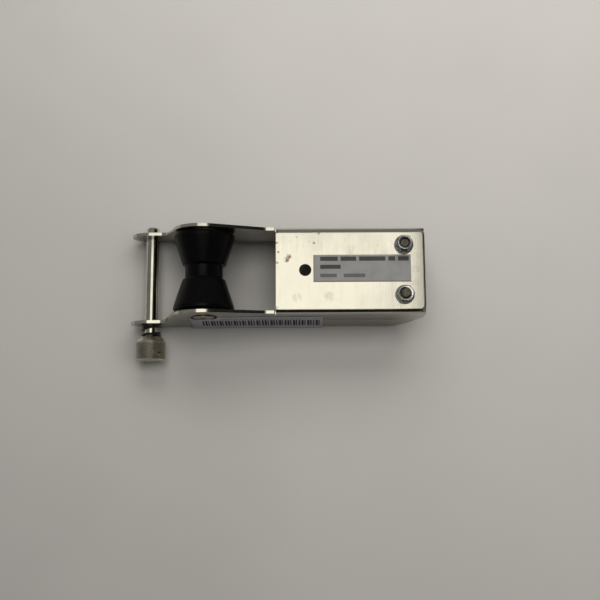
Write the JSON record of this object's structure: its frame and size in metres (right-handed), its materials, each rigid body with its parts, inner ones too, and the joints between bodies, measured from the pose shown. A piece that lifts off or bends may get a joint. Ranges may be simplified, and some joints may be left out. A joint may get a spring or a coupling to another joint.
{
  "type": "bow roller",
  "caption": "Folded stainless bow roller that bolts to a deck, with a bushed hourglass roller and a sprung, knurled retaining pin that keeps the anchor rode between its cheeks.",
  "frame": {"origin": "on the deck face, midway between the front bolt hole and the two rear bolt holes", "axes": "+X towards the rear end of the deck plate, away from the roller; +Z out of the deck face; the pin's knob is on the -Y side. The part stands on its rims with the deck face up: turn it 180 degrees about X to bolt it to a deck."},
  "size_m": [0.197, 0.092, 0.0549],
  "materials": {
    "channel_steel": "polished stainless sheet with fine handling marks",
    "roller_rubber": "smooth hard black rubber, half gloss",
    "bush_nylon": "natural nylon",
    "axle_steel": "turned stainless",
    "pin_steel": "drawn stainless bar, polished",
    "knob_steel": "diamond knurled stainless, satin",
    "roll_pin_steel": "browned spring steel",
    "spring_steel": "drawn spring wire",
    "fastener_steel": "bright stainless fasteners",
    "insert_nylon": "dark nylon",
    "deck_label_paper": "matt label with plain bars for its print",
    "side_label_paper": "matt label with plain stripes and dashes for its print"
  },
  "bodies": {
    "frame": {"channel_frame": "channel_steel", "axle_bolt": "axle_steel", "axle_sleeve_nut": "axle_steel", "deck_bolt_north": "fastener_steel", "deck_bolt_south": "fastener_steel", "inner_washer_north": "fastener_steel", "inner_washer_south": "fastener_steel", "outer_washer_north": "fastener_steel", "outer_washer_south": "fastener_steel", "lock_nut_north": "fastener_steel", "nut_insert_north": "insert_nylon", "hex_nut_south": "fastener_steel", "deck_label": "deck_label_paper", "side_label": "side_label_paper"},
    "roller": {"roller_body": "roller_rubber", "roller_bush_north": "bush_nylon", "roller_bush_south": "bush_nylon"},
    "spring": {"pin_spring": "spring_steel"},
    "pin": {"retaining_pin": "pin_steel", "pin_knob": "knob_steel", "knob_roll_pin": "roll_pin_steel"}
  },
  "joints": [
    {"name": "roller_spin", "type": "hinge", "parent": "frame", "child": "roller", "pos_m": [-0.0988, 0, -0.0091], "axis": [0, 1, 0], "continuous": true},
    {"name": "pin_withdraw", "type": "slide", "parent": "frame", "child": "spring", "axis": [0, -1, 0], "range_m": [0, 0.0645]},
    {"name": "pin_turn", "type": "hinge", "parent": "spring", "child": "pin", "pos_m": [-0.1369, 0, -0.0332], "axis": [0, 1, 0], "continuous": true}
  ]
}
